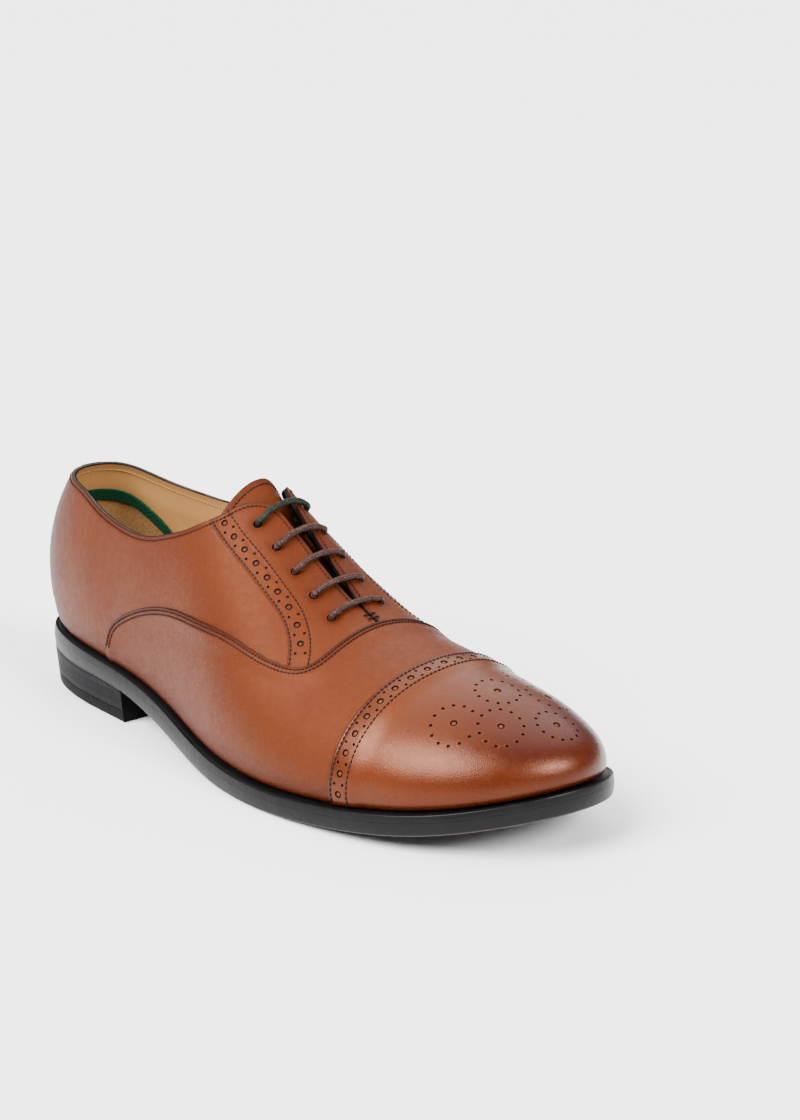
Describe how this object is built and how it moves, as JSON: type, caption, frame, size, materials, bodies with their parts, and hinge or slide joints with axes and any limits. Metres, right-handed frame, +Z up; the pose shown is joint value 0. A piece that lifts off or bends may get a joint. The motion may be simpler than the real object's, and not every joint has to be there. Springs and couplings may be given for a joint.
{
  "type": "leather oxford shoe",
  "caption": "Cap-toe leather oxford shoe for the right foot, with a stacked heel, a welted sole, laced facings and a hinged tongue.",
  "frame": {"origin": "centre of the bounding box, at the level of the ground under the heel and the ball of the sole", "axes": "+X from the heel to the toe, +Y towards the inner side of the foot, +Z up"},
  "size_m": [0.3002, 0.1034, 0.1071],
  "materials": {
    "outsole": "black-dyed leather sole with a smooth inked edge",
    "welt": "black-dyed welt strip with a matte top and an inked rim",
    "heel_top_piece": "black rubber, smooth sides",
    "heel_lift_1": "stacked leather, edge inked black",
    "heel_lift_2": "stacked leather, edge inked black",
    "heel_rand": "stacked leather, edge inked black",
    "insole_board": "undyed vegetable-tanned board",
    "cork_filler": "granulated cork in a binder",
    "heel_seat_filler": "pressed felt",
    "shank": "plain spring steel",
    "sock_lining": "smooth natural tan lining leather",
    "toe_cap": "burnished dark tan calf with a fine pebbled grain",
    "vamp": "tan calf with a fine pebbled grain",
    "quarter_outer": "tan calf with a fine pebbled grain",
    "quarter_inner": "tan calf with a fine pebbled grain",
    "facing_outer": "tan calf with a fine pebbled grain and an inked edge",
    "facing_inner": "tan calf with a fine pebbled grain and an inked edge",
    "tongue": "tan calf with a fine pebbled grain",
    "tongue_lining": "smooth natural tan lining leather",
    "heel_tab": "dark tan calf",
    "quarter_lining_outer": "smooth natural tan lining leather",
    "quarter_lining_inner": "smooth natural tan lining leather",
    "vamp_lining": "smooth natural tan lining leather",
    "heel_grip": "golden tan suede",
    "heel_grip_tape": "dark green twill tape",
    "toe_puff": "stiffened felt",
    "heel_counter": "stiffened fibreboard",
    "lace_brown": "waxed dark brown braid",
    "lace_green": "waxed dark green braid",
    "bar_tack": "dark brown thread",
    "heel_nail_1": "plain drawn brass",
    "heel_nail_2": "plain drawn brass",
    "heel_nail_3": "plain drawn brass",
    "heel_nail_4": "plain drawn brass",
    "heel_nail_5": "plain drawn brass",
    "eyelet_outer_1": "plain pressed brass, hidden",
    "eyelet_outer_2": "plain pressed brass, hidden",
    "eyelet_outer_3": "plain pressed brass, hidden",
    "eyelet_outer_4": "plain pressed brass, hidden",
    "eyelet_outer_5": "plain pressed brass, hidden",
    "eyelet_inner_1": "plain pressed brass, hidden",
    "eyelet_inner_2": "plain pressed brass, hidden",
    "eyelet_inner_3": "plain pressed brass, hidden",
    "eyelet_inner_4": "plain pressed brass, hidden",
    "eyelet_inner_5": "plain pressed brass, hidden"
  },
  "bodies": {
    "shoe": {"outsole": "outsole", "welt": "welt", "heel_top_piece": "heel_top_piece", "heel_lift_1": "heel_lift_1", "heel_lift_2": "heel_lift_2", "heel_rand": "heel_rand", "insole_board": "insole_board", "cork_filler": "cork_filler", "heel_seat_filler": "heel_seat_filler", "shank": "shank", "sock_lining": "sock_lining", "toe_cap": "toe_cap", "vamp": "vamp", "quarter_outer": "quarter_outer", "quarter_inner": "quarter_inner", "facing_outer": "facing_outer", "facing_inner": "facing_inner", "heel_tab": "heel_tab", "quarter_lining_outer": "quarter_lining_outer", "quarter_lining_inner": "quarter_lining_inner", "vamp_lining": "vamp_lining", "heel_grip": "heel_grip", "heel_grip_tape": "heel_grip_tape", "toe_puff": "toe_puff", "heel_counter": "heel_counter", "lace_brown": "lace_brown", "lace_green": "lace_green", "bar_tack": "bar_tack", "heel_nail_1": "heel_nail_1", "heel_nail_2": "heel_nail_2", "heel_nail_3": "heel_nail_3", "heel_nail_4": "heel_nail_4", "heel_nail_5": "heel_nail_5", "eyelet_outer_1": "eyelet_outer_1", "eyelet_outer_2": "eyelet_outer_2", "eyelet_outer_3": "eyelet_outer_3", "eyelet_outer_4": "eyelet_outer_4", "eyelet_outer_5": "eyelet_outer_5", "eyelet_inner_1": "eyelet_inner_1", "eyelet_inner_2": "eyelet_inner_2", "eyelet_inner_3": "eyelet_inner_3", "eyelet_inner_4": "eyelet_inner_4", "eyelet_inner_5": "eyelet_inner_5"},
    "tongue": {"tongue": "tongue", "tongue_lining": "tongue_lining"}
  },
  "joints": [
    {"name": "tongue_hinge", "type": "hinge", "parent": "shoe", "child": "tongue", "pos_m": [0.04215, 0.00517, 0.05597], "axis": [0, -1, 0], "range_deg": [0, 15]}
  ]
}
